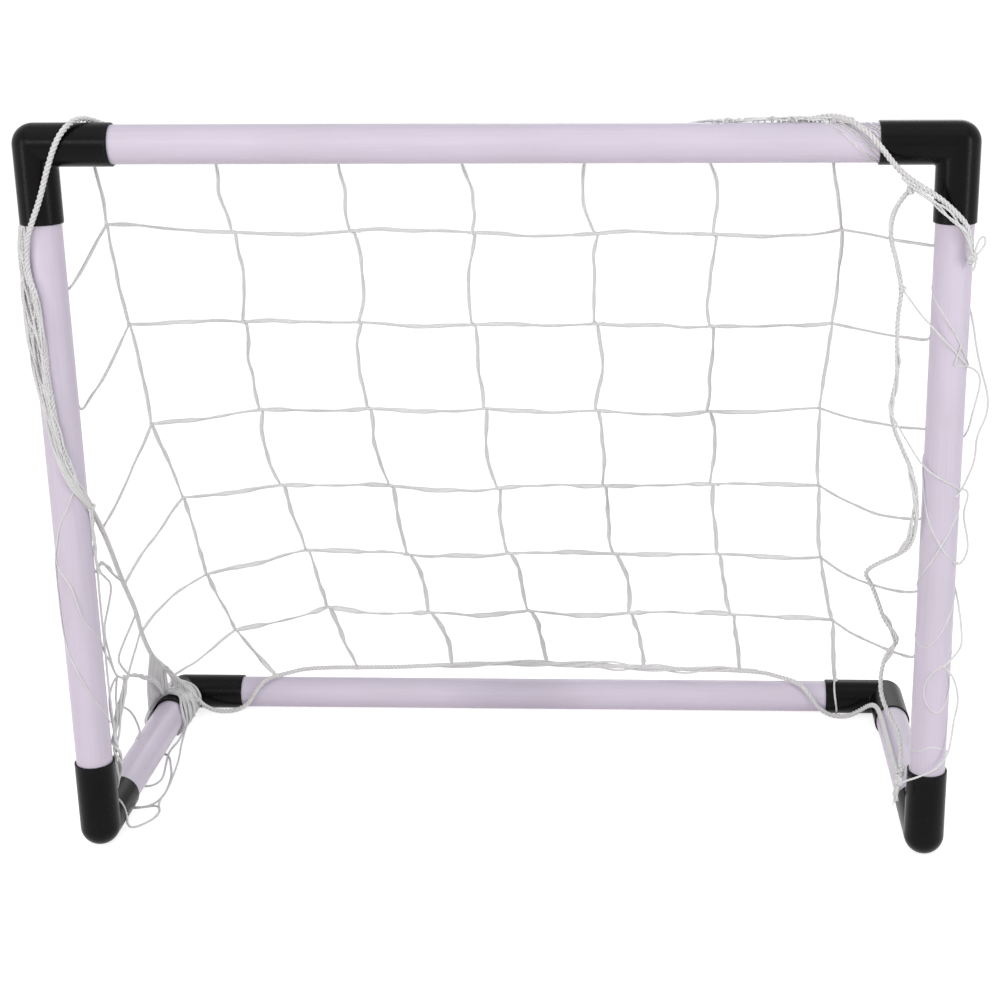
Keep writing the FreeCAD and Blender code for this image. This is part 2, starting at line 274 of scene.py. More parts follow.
def pipe(which, start, end):
    """A hollow length from start to end: chamfered rims, rings near the ends and along it."""
    start, end = Vector(start), Vector(end)
    length = (end - start).length
    profile = [(BORE_R + 0.3, 0), (TUBE_R - 0.35, 0), (TUBE_R - 0.1, 0.1), (TUBE_R, 0.45)]
    rings = max(6, int(length / 30))
    profile += [(TUBE_R, 2 + (length - 4) * k / rings) for k in range(rings + 1)]
    profile += [(TUBE_R, length - 0.45), (TUBE_R - 0.1, length - 0.1), (TUBE_R - 0.35, length)]
    profile += [(BORE_R + 0.3, length), (BORE_R, length - 0.4)]
    profile += [(BORE_R, length - 4 - (length - 8) * k / rings) for k in range(rings + 1)]
    profile += [(BORE_R, 0.4)]
    name = which + "_pipe"
    obj = bpy.data.objects.new(name, turned(name, profile, TUBE_SIDES))
    obj.data.materials.append(pipe_plastic)
    show(obj)
    turn = (end - start).to_track_quat("Z", "Y").to_matrix().to_4x4()
    obj.matrix_world = Matrix.Translation(start * MM) @ turn
    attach(obj, "root")
    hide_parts(which + "_tube")


pipe("crossbar", (LEFT + SHOULDER, FRONT, TOP), (RIGHT - SHOULDER, FRONT, TOP))
pipe("left_upright", (LEFT, FRONT, BASE + SHOULDER), (LEFT, FRONT, TOP - SHOULDER))
pipe("right_upright", (RIGHT, FRONT, BASE + SHOULDER), (RIGHT, FRONT, TOP - SHOULDER))
pipe("left_base", (LEFT, FRONT + SHOULDER, BASE), (LEFT, BACK - SHOULDER, BASE))
pipe("right_base", (RIGHT, FRONT + SHOULDER, BASE), (RIGHT, BACK - SHOULDER, BASE))
pipe("rear_base", (LEFT + SHOULDER, BACK, BASE), (RIGHT - SHOULDER, BACK, BASE))

# --------------------------------------
# Six push-fit elbows, one moulding used six times: black polypropylene, a domed corner as
# round as the sleeves, a crisp inner mitre and a plain rounded lip at each mouth. The mould
# was spark-finished, so the skin has a fine grain, and lips and corner are rubbed a little.
ELBOW_LEG, ELBOW_R, SOCKET_R = 50, 13.9, 12.6
LIP = 0.55
MITRE_ROUND = 1.7
ELBOW_SIDES = 112
ELBOW_BLACK = (0.0022, 0.0021, 0.0025)
ELBOW_WORN = (0.013, 0.013, 0.014)

elbow_plastic, tree, skin = shader_sheet("spark_finished_black_plastic")
place = tree.nodes.new("ShaderNodeTexCoord").outputs["Object"]
rubbed = tree.nodes.new("ShaderNodeAttribute")
rubbed.attribute_name = "rubbed"
spark = grain(tree, place, (1, 1, 1), 2300, 2)
flow = grain(tree, place, (1, 1, 1), 45, 4)
wear = grain(tree, place, (1, 1, 1), 420, 6, 0.7)
body = ramp(tree, flow, ELBOW_BLACK, tuple(1.45 * c for c in ELBOW_BLACK), (0.35, 0.7))
handled = ramp(tree, wear, 0, 1, (0.42, 0.72))
edge = tree.nodes.new("ShaderNodeMath")
edge.operation = "MULTIPLY"
tree.links.new(handled, edge.inputs[0])
tree.links.new(rubbed.outputs["Fac"], edge.inputs[1])
worn = tree.nodes.new("ShaderNodeRGB")
worn.outputs[0].default_value = coloured(ELBOW_WORN)
body = mixed(tree, body, worn.outputs[0], edge.outputs[0])
tree.links.new(body, skin.inputs["Base Color"])
tree.links.new(ramp(tree, wear, 0.25, 0.33, (0.3, 0.7)), skin.inputs["Roughness"])
skin.inputs["IOR"].default_value = 1.49
skin.inputs["Specular IOR Level"].default_value = 0.11
drawn = raised(tree, spark, 0.16, 0.00012)
drawn = raised(tree, flow, 0.10, 0.0012, drawn)
tree.links.new(drawn, skin.inputs["Normal"])


def sleeve_run():
    """Places along one sleeve from inside its mouth to its shoulder: (distance, radius, rubbed)."""
    run = [(ELBOW_LEG - 9, SOCKET_R, 0), (ELBOW_LEG - 1.2, SOCKET_R, 0),
           (ELBOW_LEG - 0.4, SOCKET_R + 0.12, 0.5), (ELBOW_LEG, SOCKET_R + 0.4, 1)]
    for k in range(5):
        a = k * pi / 8
        run.append((ELBOW_LEG - LIP * (1 - cos(a)), ELBOW_R - LIP * (1 - sin(a)), 1))
    run += [(ELBOW_LEG - 1.6, ELBOW_R, 0.7), (ELBOW_LEG - 4, ELBOW_R, 0.2)]
    run += [(ELBOW_LEG - back, ELBOW_R, 0) for back in (12, 22, 32)]
    return run


def elbow(which, corner, first, second):
    """The moulding at corner, its sleeves pointing along the unit directions first and second."""
    corner, first, second = Vector(corner), Vector(first), Vector(second)
    across = first.cross(second)
    run = sleeve_run()
    bend = 18
    rows, marks = [], []
    for k in range(ELBOW_SIDES):
        a = 2 * pi * k / ELBOW_SIDES
        line, mark = [], []
        for distance, radius, rub in run:
            line.append((distance, radius * cos(a), radius * sin(a)))
            mark.append(rub)
        w, c = ELBOW_R * cos(a), ELBOW_R * sin(a)
        for b in range(bend + 1):
            turn = b / bend * pi / 2
            if w > 0:
                rho = MITRE_ROUND * sqrt(abs(cos(a)))
                line.append((w + rho - rho * sin(turn), w + rho - rho * cos(turn), c))
                mark.append(0)
            else:
                line.append((w * sin(turn), w * cos(turn), c))
                mark.append(0.45 * (abs(w) / ELBOW_R) ** 2)
        for distance, radius, rub in reversed(run):
            line.append((radius * cos(a), distance, radius * sin(a)))
            mark.append(rub)
        rows.append(line)
        marks.append(mark)
    long = len(rows[0])
    corners = []
    for line in rows:
        for u, v, c in line:
            corners.append((corner + first * u + second * v + across * c) * MM)
    faces = []
    for k in range(ELBOW_SIDES):
        n = (k + 1) % ELBOW_SIDES
        for i in range(long - 1):
            faces.append((k * long + i, k * long + i + 1, n * long + i + 1, n * long + i))
    name = which + "_moulding"
    mesh = bpy.data.meshes.new(name)
    mesh.from_pydata(corners, [], faces)
    tint = mesh.attributes.new("rubbed", "FLOAT", "POINT")
    tint.data.foreach_set("value", [m for mark in marks for m in mark])
    mesh.polygons.foreach_set("use_smooth", [True] * len(faces))
    mesh.validate()
    mesh.materials.append(elbow_plastic)
    obj = bpy.data.objects.new(name, mesh)
    show(obj)
    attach(obj, "root")
    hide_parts(which + "_elbow")


X, Y, Z = Vector((1, 0, 0)), Vector((0, 1, 0)), Vector((0, 0, 1))
elbow("top_left", (LEFT, FRONT, TOP), X, -Z)
elbow("top_right", (RIGHT, FRONT, TOP), -Z, -X)
elbow("front_left", (LEFT, FRONT, BASE), Z, Y)
elbow("front_right", (RIGHT, FRONT, BASE), Z, Y)
elbow("rear_left", (LEFT, BACK, BASE), -Y, X)
elbow("rear_right", (RIGHT, BACK, BASE), -X, -Y)

# --------------------------------------
# The edge rope: white polypropylene, three strands laid together, 3.8 mm thick and about two
# metres long. It is threaded through the net's edge and runs from a knot at the right upright
# over the crossbar, down the left upright, back along the net's edge and round the rear tube.
ROPE_STRAND, ROPE_SPREAD, ROPE_PITCH = 0.95, 1, 9.6
ROPE_SIDES, ROPE_RINGS_APART = 24, 0.7
# A flattened cord is still round where it leaves a knot, and takes this far to spread, in mm.
FLAT_EASE = 7
# ROPE_SHADE is painted shade, laid into the grooves between the strands.
ROPE_WHITE, ROPE_CREAM, ROPE_SHADE = (0.92, 0.92, 0.92), (0.88, 0.875, 0.865), (0.68, 0.67, 0.665)


def yarn(name, light, warm, dark, fibres, plump):
    """Laid fibre: hair-fine lines along each strand, painted shade in the grooves, uneven in
    colour.
    """
    material, tree, skin = shader_sheet(name)
    sheet = tree.nodes.new("ShaderNodeTexCoord")
    hairs = grain(tree, sheet.outputs["UV"], (0.16 * fibres, 1, 1), 34, 5, 0.65)
    patches = grain(tree, sheet.outputs["Object"], (1, 1, 1), 75, 3)
    painted_groove_shade = tree.nodes.new("ShaderNodeAttribute")
    painted_groove_shade.attribute_name = "depth"
    body = ramp(tree, patches, warm, light, (0.36, 0.62))
    body = mixed(tree, body, ramp(tree, hairs, 0.86, 1, (0.3, 0.6)), 1, "MULTIPLY")
    shade = tree.nodes.new("ShaderNodeRGB")
    shade.outputs[0].default_value = coloured(dark)
    # Painted shade: the colour runs towards the dark one the deeper a point lies in the grooves
    # between the plies.
    body = mixed(tree, body, shade.outputs[0], painted_groove_shade.outputs["Fac"])
    tree.links.new(body, skin.inputs["Base Color"])
    tree.links.new(ramp(tree, hairs, 0.72, 0.52, (0.3, 0.7)), skin.inputs["Roughness"])
    skin.inputs["Specular IOR Level"].default_value = 0.35
    skin.inputs["Sheen Weight"].default_value = 0.18
    skin.inputs["Sheen Roughness"].default_value = 0.5
    tree.links.new(raised(tree, hairs, 0.5, plump), skin.inputs["Normal"])
    return material


laid_rope = yarn("laid_white_rope", ROPE_WHITE, ROPE_CREAM, ROPE_SHADE, 6, 0.00018)


def smooth_route(points):
    """The points of Blender's smooth line with these control points, in millimetres."""
    curve = bpy.data.curves.new("route", "CURVE")
    curve.dimensions = "3D"
    curve.resolution_u = 16
    line = curve.splines.new("NURBS")
    line.points.add(len(points) - 1)
    for control, point in zip(line.points, points):
        control.co = (*[c * MM for c in point], 1)
    line.order_u = 3
    line.use_endpoint_u = True
    carrier = bpy.data.objects.new("route", curve)
    mesh = bpy.data.meshes.new_from_object(carrier)
    read = np.empty(len(mesh.vertices) * 3)
    mesh.vertices.foreach_get("co", read)
    bpy.data.meshes.remove(mesh)
    bpy.data.objects.remove(carrier)
    bpy.data.curves.remove(curve)
    return read.reshape(-1, 3) / MM


def evenly(line, step):
    """The same line with its points a step apart."""
    gaps = np.linalg.norm(np.diff(line, axis=0), axis=1)
    keep = np.concatenate(([True], gaps > 1e-6))
    line = line[keep]
    along = np.concatenate(([0], np.cumsum(np.linalg.norm(np.diff(line, axis=0), axis=1))))
    count = max(3, int(round(along[-1] / step)) + 1)
    marks = np.linspace(0, along[-1], count)
    return np.stack([np.interp(marks, along, line[:, k]) for k in range(3)], axis=1), marks


class Lay:
    """Gathers laid strands into one mesh: rings that follow a line and turn with the twist."""

    def __init__(self, plies, radius, spread, pitch, sides, step):
        self.plies, self.radius, self.spread = plies, radius, spread
        self.pitch, self.sides, self.step = pitch, sides, step
        self.points, self.faces, self.uv, self.depth = [], [], [], []
        self.count = 0

    def section(self, scale=1):
        angles = np.arange(self.sides) * 2 * pi / self.sides
        within = (angles + pi / self.plies) % (2 * pi / self.plies) - pi / self.plies
        a, d = self.radius * scale, self.spread * scale
        reach = d * np.cos(within) + np.sqrt(np.maximum(a * a - (d * np.sin(within)) ** 2, 0))
        return angles, reach

    def along(self, line, scale=1, start=0, flat=0, facing=(0, 1, 0), until=None):
        """Lays one cord along line; flat spreads it into a soft band that rolls over as it goes."""
        line, marks = evenly(line, self.step)
        count = len(line)
        ahead = np.gradient(line, axis=0)
        ahead /= np.linalg.norm(ahead, axis=1)[:, None]
        side = np.cross(ahead[0], (0.31, 0.52, 0.79))
        side /= np.linalg.norm(side)
        angles, reach = self.section(scale)
        outmost = reach.max()
        ease = np.clip(np.minimum(marks, (until or marks[-1]) - marks) / FLAT_EASE, 0, 1)
        wide = 1 + flat * ease
        thin = 1 / (1 + 0.35 * flat * ease)
        roll = 0.85 * np.sin(marks / 13 + start) + 0.45 * np.sin(marks / 5.2 + 2 * start)
        rings = np.empty((count, self.sides, 3))
        for i in range(count):
            side = side - ahead[i] * np.dot(side, ahead[i])
            side /= np.linalg.norm(side)
            up = np.cross(ahead[i], side)
            turn = angles + start + 2 * pi * marks[i] / self.pitch
            section = (np.cos(turn) * reach)[:, None] * side + (np.sin(turn) * reach)[:, None] * up
            if flat:
                broad = np.cross(ahead[i], facing)
                broad = cos(roll[i]) * broad + sin(roll[i]) * np.cross(ahead[i], broad)
                broad /= np.linalg.norm(broad)
                across = section @ broad
                section = section * thin[i] + np.outer(across * (wide[i] - thin[i]), broad)
            rings[i] = line[i] + section
        base = self.count
        self.points.append(rings.reshape(-1, 3))
        grid = base + np.arange(count * self.sides).reshape(count, self.sides)
        near, far = grid[:-1], grid[1:]
        quads = np.stack([near, np.roll(near, -1, axis=1), np.roll(far, -1, axis=1), far], axis=-1)
        self.faces.append(quads.reshape(-1, 4))
        around = np.arange(self.sides) / self.sides
        u0 = np.repeat(marks[:-1], self.sides)
        u1 = np.repeat(marks[1:], self.sides)
        v0 = np.tile(around, count - 1)
        v1 = v0 + 1 / self.sides
        corners = ((u0, v0), (u0, v1), (u1, v1), (u1, v0))
        uv = np.stack([np.stack(corner, -1) for corner in corners], axis=1)
        self.uv.append(uv.reshape(-1, 2))
        # How deep each ring point lies in the grooves: the mask for the painted groove shade.
        self.depth.append(np.tile(1 - reach / outmost, count))
        self.count += count * self.sides
        for ring, middle in ((0, line[0] - ahead[0] * 0.5 * outmost),
                             (count - 1, line[-1] + ahead[-1] * 0.5 * outmost)):
            self.points.append(middle[None, :])
            tip = self.count
            self.count += 1
            self.depth.append(np.zeros(1))
            edge = grid[ring]
            after = np.roll(edge, -1)
            pair = (after, edge) if ring == 0 else (edge, after)
            self.faces.append(np.stack([pair[0], pair[1], np.full(self.sides, tip)], axis=-1))
            self.uv.append(np.zeros((self.sides * 3, 2)))

    def finished(self, name, material, slot, node=None):
        """Makes the piece from what was laid; node is the solid that it stands for, if any."""
        points = np.concatenate(self.points) * MM
        faces = [tuple(int(i) for i in face) for block in self.faces for face in block]
        mesh = bpy.data.meshes.new(name)
        mesh.from_pydata(points.tolist(), [], faces)
        mesh.uv_layers.new(name="lay")
        mesh.uv_layers["lay"].data.foreach_set("uv", np.concatenate(self.uv).ravel())
        # The painted groove shade: the mask that darkens the colour deeper in the grooves between
        # the strands.
        painted_groove_shade = mesh.attributes.new("depth", "FLOAT", "POINT")
        painted_groove_shade.data.foreach_set("value", np.concatenate(self.depth) * 0.9)
        mesh.polygons.foreach_set("use_smooth", [True] * len(faces))
        mesh.materials.append(material)
        obj = bpy.data.objects.new(name, mesh)
        show(obj)
        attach(obj, "root")
        if node:
            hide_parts(node)


def rope_lay(size=1):
    return Lay(3, ROPE_STRAND * size, ROPE_SPREAD * size, ROPE_PITCH, ROPE_SIDES, ROPE_RINGS_APART)


EDGE_ROUTE = [
    (301.5, -134.9, 425.9), (300, -135.8, 441.9), (290, -136.6, 452.9), (278, -136.6, 462.9),
    (264, -136.6, 470.9), (252.5, -136.8, 479.9), (240.5, -137, 495.4), (230.5, -133.1, 504.9),
    (219.5, -124.4, 510.4), (206.5, -114.9, 509.7), (188.5, -108, 503.5), (120, -105.5, 500.5),
    (-160, -105.5, 500.5), (-242, -106, 501), (-254, -112, 507.7), (-261.5, -123, 511.2),
    (-267.5, -132.4, 506.5), (-273.5, -136.8, 497), (-280.5, -136.7, 479.9),
    (-286.5, -136.7, 461.9), (-293.5, -136.2, 446.9), (-299, -134.6, 433.9),
    (-300.3, -133.5, 415.9), (-295.7, -135.3, 396.9), (-294.4, -135.5, 368.9),
    (-293, -135.6, 338.9), (-290.3, -135.4, 308.9), (-286.2, -134.3, 286.9),
    (-280.9, -130.4, 267.9), (-276.7, -122.4, 250.9), (-280.3, -88.5, 221), (-284, -49, 173),
    (-286, -16, 137.5), (-289.5, 1.5, 114), (-291.5, 30, 82), (-291.5, 61, 60.5),
    (-287.5, 82, 40.5), (-282, 89, 29.4), (-276.5, 93, 19.4), (-270.5, 98, 8.9),
    (-260.5, 102.5, 2.9), (-246.5, 106, 2.6), (-235.5, 105, 9.9), (-228.5, 105.5, 21.9),
    (-220.5, 111.5, 29.4), (-206.5, 120.5, 30.3), (-186.5, 127.2, 33.2), (-120, 127, 33.6),
    (-68, 126.5, 37), (-10, 126, 39), (50, 126, 38), (100, 127, 34.5), (186.5, 127.2, 33.2),
    (206.5, 120.5, 30.3), (220.5, 111.5, 29.4), (228.5, 105.5, 21.9), (235.5, 105, 9.9),
    (246.5, 106, 2.6), (259.5, 103, 2.9), (269.5, 98, 10.9), (276, 89, 19.9), (279.5, 76, 25.4),
    (281.5, 58, 25.9), (281, -54, 26.4), (280, -72, 27.4), (276.5, -87, 29.9), (273.5, -101, 34.4),
    (273.2, -114, 41.9), (273.8, -120, 53.9),
]


def stopper(lay, middle, axis, width, height, turns):
    """A barrel knot: the rope's own end wound round itself, drawn tight, with a short tail."""
    middle, axis = Vector(middle), Vector(axis).normalized()
    side = axis.orthogonal().normalized()
    up = axis.cross(side)
    coil = []
    steps = int(turns * 14)
    for k in range(steps + 1):
        a = 2 * pi * turns * k / steps
        rise = (k / steps - 0.5) * height
        coil.append(middle + side * (width * cos(a)) + up * (width * sin(a)) + axis * rise)
    coil.append(coil[-1] + axis * 3 + side * 1.5)
    lay.along(smooth_route(coil), 0.82)


edge = rope_lay()
edge.along(smooth_route(EDGE_ROUTE))
stopper(edge, (301.5, -134.9, 422.4), (0, 0, 1), 1.5, 5, 1.7)
stopper(edge, (273.8, -120, 60.4), (0, 0, 1), 1.8, 6, 1.8)
edge.finished("edge_rope_laid", laid_rope, "rope", "edge_rope")

# --------------------------------------
# The right edge rope: a second length of the same rope. It is knotted into the first at the
# crossbar's elbow and hangs slack beside the right upright, in loose bends, down to the foot,
# where its end is knotted to the end of the edge rope.
HANGING_SIZE = 0.85
RIGHT_ROUTE = [
    (262.5, -132, 466.9), (256.5, -130, 459.9), (251.5, -128, 447.9), (251.5, -126, 433.9),
    (257, -125, 417.9), (260.5, -124, 401.9), (258.5, -122, 381.9), (259.5, -121, 359.9),
    (260.5, -120, 341.9), (257, -119, 326.9), (258.5, -118, 310.9), (265.5, -119, 294.9),
    (272.5, -124, 279.9), (275.8, -128, 262.9), (276.1, -128, 243.9), (273.5, -124, 227.9),
    (264.5, -116, 218.9), (256, -106, 210.9), (248.5, -100, 203.9), (247, -98, 198.9),
    (251, -96, 192.9), (256, -94, 180.9), (261, -94, 165.9), (268.5, -96, 155.9), (272, -97, 149.9),
    (264, -97, 140.9), (260, -100, 126.9), (260.5, -104, 111.9), (266, -110.5, 99.9),
    (272.5, -116.5, 89.9), (273.8, -120, 78.9), (273.8, -120, 65.2),
]

hanging = rope_lay(HANGING_SIZE)
hanging.along(smooth_route(RIGHT_ROUTE))
hanging.finished("right_edge_rope_laid", laid_rope, "rope", "right_edge_rope")

# --------------------------------------
# The back net: soft white twine of three plies that lies flat and rolls over as it goes, in
# meshes of 77 mm with a tight knot at each crossing. It hangs from the rope behind the crossbar,
# slack and a little crooked, and its lowest cords are tied to the rope on the rear base tube.
TWINE_PLY, TWINE_SPREAD, TWINE_PITCH = 0.53, 0.45, 6.5
TWINE_SIDES, TWINE_RINGS_APART = 12, 0.6
TWINE_WHITE, TWINE_WARM = (0.93, 0.935, 0.935), (0.89, 0.89, 0.885)
# TWINE_SHADE is painted shade, laid into the grooves between the plies.
TWINE_SHADE = (0.78, 0.78, 0.775)
# Each row: how far down the net it is, its first and last cord's x, how far those two droop.
NET_ROWS = [
    (23, -263, 217, -1, 3), (80, -264, 225, -7, -4), (158, -269, 223, 3, -3),
    (237, -268, 223, 14, -2), (313, -261, 226, 16, 0), (386, -255, 232, 24, 0),
    (452, -246, 245, 27, 8), (515, -228, 252, 4, 0),
]
NET_COLUMNS = 7
NET_OFF = 15
JOINT_STEP = 1.3
# Where each column's lowest cord is tied: to the rear rope, and the last one round the elbow.
NET_FEET = [
    (-214, 116, 30.2), (-148, 127.1, 33.5), (-68, 126.6, 36.6), (12, 126.2, 38.4),
    (92, 126.8, 35.4), (172, 127.2, 33.2), (250.5, 120, 29),
]
DOWN = Vector((0, FRAME_DEPTH, -FRAME_HEIGHT)).normalized()
BEHIND = Vector((0, FRAME_HEIGHT, FRAME_DEPTH)).normalized()

net_twine = yarn("knotted_white_twine", TWINE_WHITE, TWINE_WARM, TWINE_SHADE, 3, 0.0001)
hand = Random(41)
vary = hand.uniform


def twine_lay():
    return Lay(3, TWINE_PLY, TWINE_SPREAD, TWINE_PITCH, TWINE_SIDES, TWINE_RINGS_APART)


def strand(lay, start, end, sag=(0, 0, 0), wander=0.8, flat=0.9, points=4):
    """One cord between two knots: it leaves them a little crooked, and hangs by sag between."""
    start, end, sag = Vector(start), Vector(end), Vector(sag)
    ahead = (end - start)
    side = ahead.cross(Vector((0.2, 0.9, 0.3))).normalized()
    up = ahead.normalized().cross(side)
    route = [start]
    for k in range(1, points + 1):
        s = k / (points + 1)
        lean = wander * (1.25 if k in (1, points) else 0.8)
        drift = side * vary(-lean, lean) + up * vary(-lean, lean) * 0.7
        route.append(start + ahead * s + sag * (4 * s * (1 - s)) + drift)
    route.append(end)
    lay.along(smooth_route(route), 1 + 0.22 * flat, vary(0, 6), flat, BEHIND)


def knot(lay, middle, size=1):
    """A small overhand knot drawn tight, turned some way of its own."""
    turn = Matrix.Rotation(vary(0, 6.3), 3, "Y") @ Matrix.Rotation(vary(-0.5, 0.5), 3, "X")
    line = []
    for k in range(29):
        t = 2 * pi * k / 28
        loop = Vector((sin(t) + 2 * sin(2 * t), -1.1 * sin(3 * t), cos(t) - 2 * cos(2 * t)))
        line.append(Vector(middle) + turn @ (loop * 0.56 * size))
    lay.along(np.array([tuple(p) for p in line]), 0.86 * size)


def net_point(row, column):
    down, first, last, droop_first, droop_last = NET_ROWS[row]
    share = column / (NET_COLUMNS - 1)
    drop = down + droop_first * max(0, 1 - column) + droop_last * max(0, column - NET_COLUMNS + 2)
    spot = Vector((first + (last - first) * share, FRONT, TOP)) + DOWN * drop + BEHIND * NET_OFF
    if 0 < row < len(NET_ROWS) - 1:
        spot += Vector((vary(-2, 2), 0, 0)) + DOWN * vary(-1.5, 1.5) + BEHIND * vary(-1, 4)
    return spot


net_knots = [[net_point(r, c) for c in range(NET_COLUMNS)] for r in range(len(NET_ROWS))]
back = twine_lay()
for c in range(NET_COLUMNS):
    tie = Vector((net_knots[0][c].x + 1, -105.5, 500.5))
    strand(back, tie, net_knots[0][c], wander=0.2, points=2)
    knot(back, tie, 1)
    slack = 0.3 if c in (0, NET_COLUMNS - 1) else 1
    for r in range(len(NET_ROWS) - 1):
        step_aside = Vector((JOINT_STEP * slack, 0, 0))
        high, low = net_knots[r][c] + step_aside * min(r, 1), net_knots[r + 1][c] - step_aside
        if r + 1 == len(NET_ROWS) - 1:
            low = Vector(NET_FEET[c])
            knot(back, low, 1.1)
        bulge = (slack * vary(-5.5, 5.5), slack * vary(0, 3), 0)
        strand(back, high, low, bulge, 0.35 + 1.4 * slack, 0.30 + 0.12 * r)
for r in range(1, len(NET_ROWS) - 1):
    for c in range(NET_COLUMNS):
        middle = net_knots[r][c]
        knot(back, middle, 0.78)
        if 0 < c < NET_COLUMNS - 1:
            reach = vary(4.5, 9)
            joint = [middle + Vector((reach * s, -0.5, 0.9 * s * vary(-1, 1)))
                     for s in (-0.6, -0.3, 0, 0.4, 1)]
            back.along(smooth_route(joint), 0.9)
        if c + 1 < NET_COLUMNS:
            strand(back, middle, net_knots[r][c + 1], (0, 0, vary(-3, 1.5)), 1.25, 0.35 + 0.12 * r)
foot_tie = []
tie_r = ELBOW_R + 0.9
for k in range(17):
    a = radians(-144 + 18 * k)
    foot_tie.append((250.5 + 1.2 * sin(2 * a), BACK + tie_r * sin(a), BASE + tie_r * cos(a)))
back.along(smooth_route(foot_tie), 0.9)
back.finished("back_net_twine", net_twine, "twine", "back_net")

# --------------------------------------
# The two side nets: the same net turns the corner and runs forward to the uprights. On the
# left its cords go round the upright or end on the edge rope that slants down to the elbow; on
# the right they all go round the upright, past the slack rope that hangs beside it.
LEFT_ROUND = [(400, 391), (316, 368)]
LEFT_ENDS = [(-278.9, -98.5, 229.3), (-284.3, -44, 168.5), (-289, 2, 113), (-289, 77.5, 46)]
RIGHT_ROUND = [(428, 424), (366, 396), (307, 296), (244, 250), (192, 208), (144, 164)]
# Where a net cord first touches an upright, in degrees round it from the front, and where the
# cords of each side end.
EDGE_ANGLE, LEFT_FINISH, RIGHT_FINISH = 116, 306, 212


def on_upright(side, height, angle, lift=1):
    """A place on an upright's skin, lifted off it; angle 0 is the front, plus is to the left."""
    a = radians(angle)
    reach = TUBE_R + lift
    return (side * RIGHT - reach * sin(a), FRONT - reach * cos(a), height)


def loose(lay, points, scale=1, flat=0, until=None):
    """A cord that wanders freely through these places."""
    lay.along(smooth_route(points), scale, vary(0, 6), flat, BEHIND, until)


def round_back(lay, side, start, inner, outer, finish, sag):
    """A net cord that reaches an upright and is carried round its hidden side to its outer side."""
    ends = [on_upright(side, inner + (outer - inner) * k / 6,
                       side * (EDGE_ANGLE + (finish - EDGE_ANGLE) * k / 6)) for k in range(7)]
    start, edge = Vector(start), Vector(ends[0])
    ahead = edge - start
    approach = [start]
    for k in range(1, 5):
        s = k / 5
        drift = Vector((vary(-0.8, 0.8), 0, vary(-0.8, 0.8)))
        approach.append(start + ahead * s + Vector((0, 0, sag * 4 * s * (1 - s))) + drift)
    loose(lay, approach + ends, 1, 0.3, ahead.length)


left = twine_lay()
for r, (inner, outer) in enumerate(LEFT_ROUND):
    round_back(left, -1, net_knots[r + 1][0], inner, outer, LEFT_FINISH, (-0.5, -3)[r])
for r, (end, sag) in enumerate(zip(LEFT_ENDS, (-3, 3, 7, -2))):
    strand(left, net_knots[r + len(LEFT_ROUND) + 1][0], end, (0, 0, sag), 1.4, 0.35, 5)
    knot(left, end, 0.9)
left.finished("left_side_twine", net_twine, "twine", "left_side_net")

right = twine_lay()
for r, (inner, outer) in enumerate(RIGHT_ROUND):
    start, sag = net_knots[r + 1][NET_COLUMNS - 1], (0, -0.5, -2.5, -6.5, -7, -4)[r]
    round_back(right, 1, start, inner, outer, RIGHT_FINISH, sag)
right.finished("right_side_twine", net_twine, "twine", "right_side_net")

# --------------------------------------
# Spare net on the left upright: the net is wider than the mouth, so its edge is bunched under
# the elbow, lies down the outer side of the tube and crosses its front along the edge rope.
# Single cords have strayed over the tube below.
LAYER_CORDS = 11
BUNCH_CORDS = 2 * LAYER_CORDS
# How far round the upright the rope is at each height, how far the bunch reaches beyond it to
# the left, and how deep it lies on the tube.
BUNCH_COURSE = [
    (443.5, 36, 36, 0.3), (439, 36, 42, 1.6), (430, 35, 50, 2.9), (421, 31, 56, 3.4),
    (410, 25, 64, 3.8), (398, 15, 74, 3.9), (385, 11, 74, 3.6), (370, 8, 64, 3.2), (355, 6, 48, 3),
    (340, 3, 36, 2.8), (325, -3, 30, 2.6), (310, -8, 27, 2.4), (296, -16, 25, 2.4),
    (282, -29, 22, 2.4), (270, -44, 17, 2.6), (260, -62, 9, 3), (252, -80, 3, 3),
]

left_spare = twine_lay()
for k in range(BUNCH_CORDS):
    layer = 0.15 if k < LAYER_CORDS else 0.75
    phase, roam = vary(0, 6.3), vary(0.035, 0.075)
    route = []
    for step, (height, rope_angle, spread, depth) in enumerate(BUNCH_COURSE):
        share = (k % LAYER_CORDS) / (LAYER_CORDS - 1)
        if step > 0 and spread > 9:
            share += 0.22 * sin(phase + roam * height) + vary(-0.12, 0.12)
            height += vary(-2.5, 2.5)
        angle = rope_angle + spread * min(1, max(-0.12, share))
        deep = min(1, max(0, layer + vary(-0.25, 0.3)))
        route.append(on_upright(-1, height, angle, 0.8 + depth * deep))
    loose(left_spare, route, vary(0.62, 0.9))
for k in range(3):
    route = []
    for height, rope_angle, spread, depth in BUNCH_COURSE[5 + k:-1]:
        height, angle = height + vary(-2, 2), rope_angle + vary(-9, 9)
        route.append(on_upright(-1, height, angle, 4.6 + vary(0, 1.2)))
    route.append((-276.5, -121, 253))
    loose(left_spare, route, 0.6)
for stray in (
    [(268, -40), (262, -24), (255, -14), (243, 18), (229, 35), (220, 55), (211, 40), (204, 12),
     (198, -3), (186, -14), (175, -25), (166, -48), (158, -78), (151, -98)],
    [(218, 57), (205, 66), (190, 62), (174, 58), (158, 46), (146, 26), (136, 4), (127, -12),
     (116, -34), (106, -58), (97, -84), (92, -104)],
):
    loose(left_spare, [on_upright(-1, height, angle, 0.6) for height, angle in stray], 0.62)
left_spare.finished("left_upright_spare_net", net_twine, "twine")

# --------------------------------------
# Slack net between the left upright and the slanting rope: a doubled cord hangs beside the
# tube, smaller loops catch on it, and the whole is bunched in the corner behind the foot.


